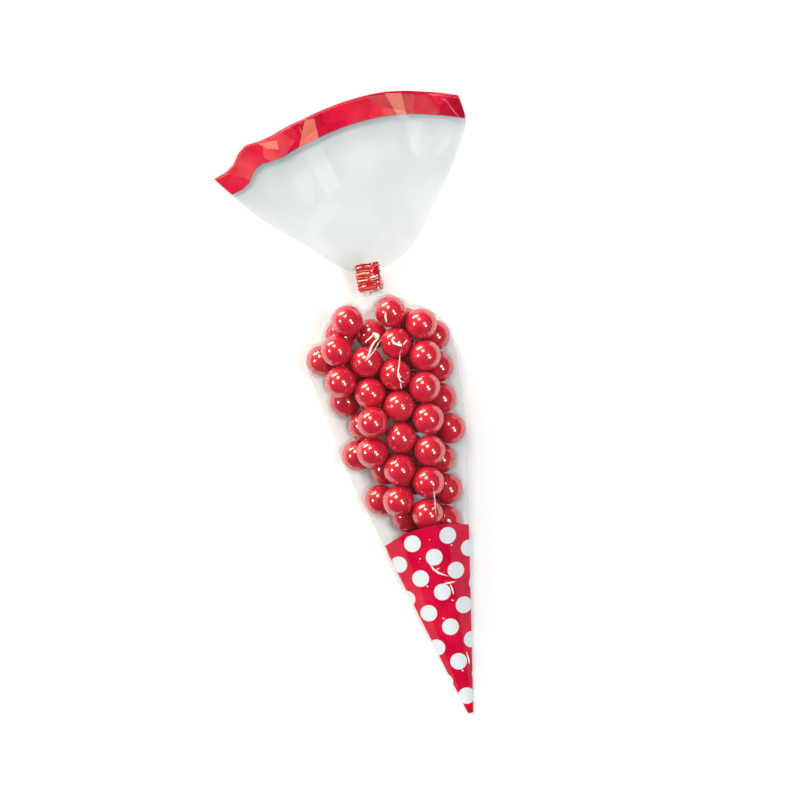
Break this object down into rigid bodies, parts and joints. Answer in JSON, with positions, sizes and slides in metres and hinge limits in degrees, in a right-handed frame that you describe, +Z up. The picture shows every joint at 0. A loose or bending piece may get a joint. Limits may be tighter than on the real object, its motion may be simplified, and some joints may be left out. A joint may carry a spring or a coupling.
{
  "type": "filled cone bag",
  "caption": "Clear plastic cone bag filled with glossy red balls, tied shut under a fanned mouth, with a polka dot tip and a red rim band.",
  "frame": {"origin": "under the middle of the bag's bounding box, on the surface that it lies on", "axes": "+Y from the pointed tip to the open mouth, +X to the right, +Z up, away from the surface"},
  "size_m": [0.1296, 0.3146, 0.0374],
  "materials": {
    "clear_film": "clear glossy film with creases",
    "red_ink": "glossy red print under clear film",
    "white_ink": "white print under clear film",
    "red_tie": "shiny red foil ribbon over a wire",
    "red_shell": "polished sugar shell"
  },
  "bodies": {
    "root": {"bag_film": "clear_film", "tip_print_red": "red_ink", "tip_print_white": "white_ink", "rim_print": "red_ink", "twist_tie": "red_tie", "ball_01": "red_shell", "ball_02": "red_shell", "ball_03": "red_shell", "ball_04": "red_shell", "ball_05": "red_shell", "ball_06": "red_shell", "ball_07": "red_shell", "ball_08": "red_shell", "ball_09": "red_shell", "ball_10": "red_shell", "ball_11": "red_shell", "ball_12": "red_shell", "ball_13": "red_shell", "ball_14": "red_shell", "ball_15": "red_shell", "ball_16": "red_shell", "ball_17": "red_shell", "ball_18": "red_shell", "ball_19": "red_shell", "ball_20": "red_shell", "ball_21": "red_shell", "ball_22": "red_shell", "ball_23": "red_shell", "ball_24": "red_shell", "ball_25": "red_shell", "ball_26": "red_shell", "ball_27": "red_shell", "ball_28": "red_shell", "ball_29": "red_shell", "ball_30": "red_shell", "ball_31": "red_shell", "ball_32": "red_shell", "ball_33": "red_shell", "ball_34": "red_shell", "ball_35": "red_shell", "ball_36": "red_shell", "ball_37": "red_shell", "ball_38": "red_shell", "ball_39": "red_shell", "ball_40": "red_shell", "ball_41": "red_shell", "ball_42": "red_shell", "ball_43": "red_shell", "ball_44": "red_shell", "ball_45": "red_shell", "ball_46": "red_shell", "ball_47": "red_shell", "ball_48": "red_shell", "ball_49": "red_shell", "ball_50": "red_shell"}
  },
  "joints": []
}
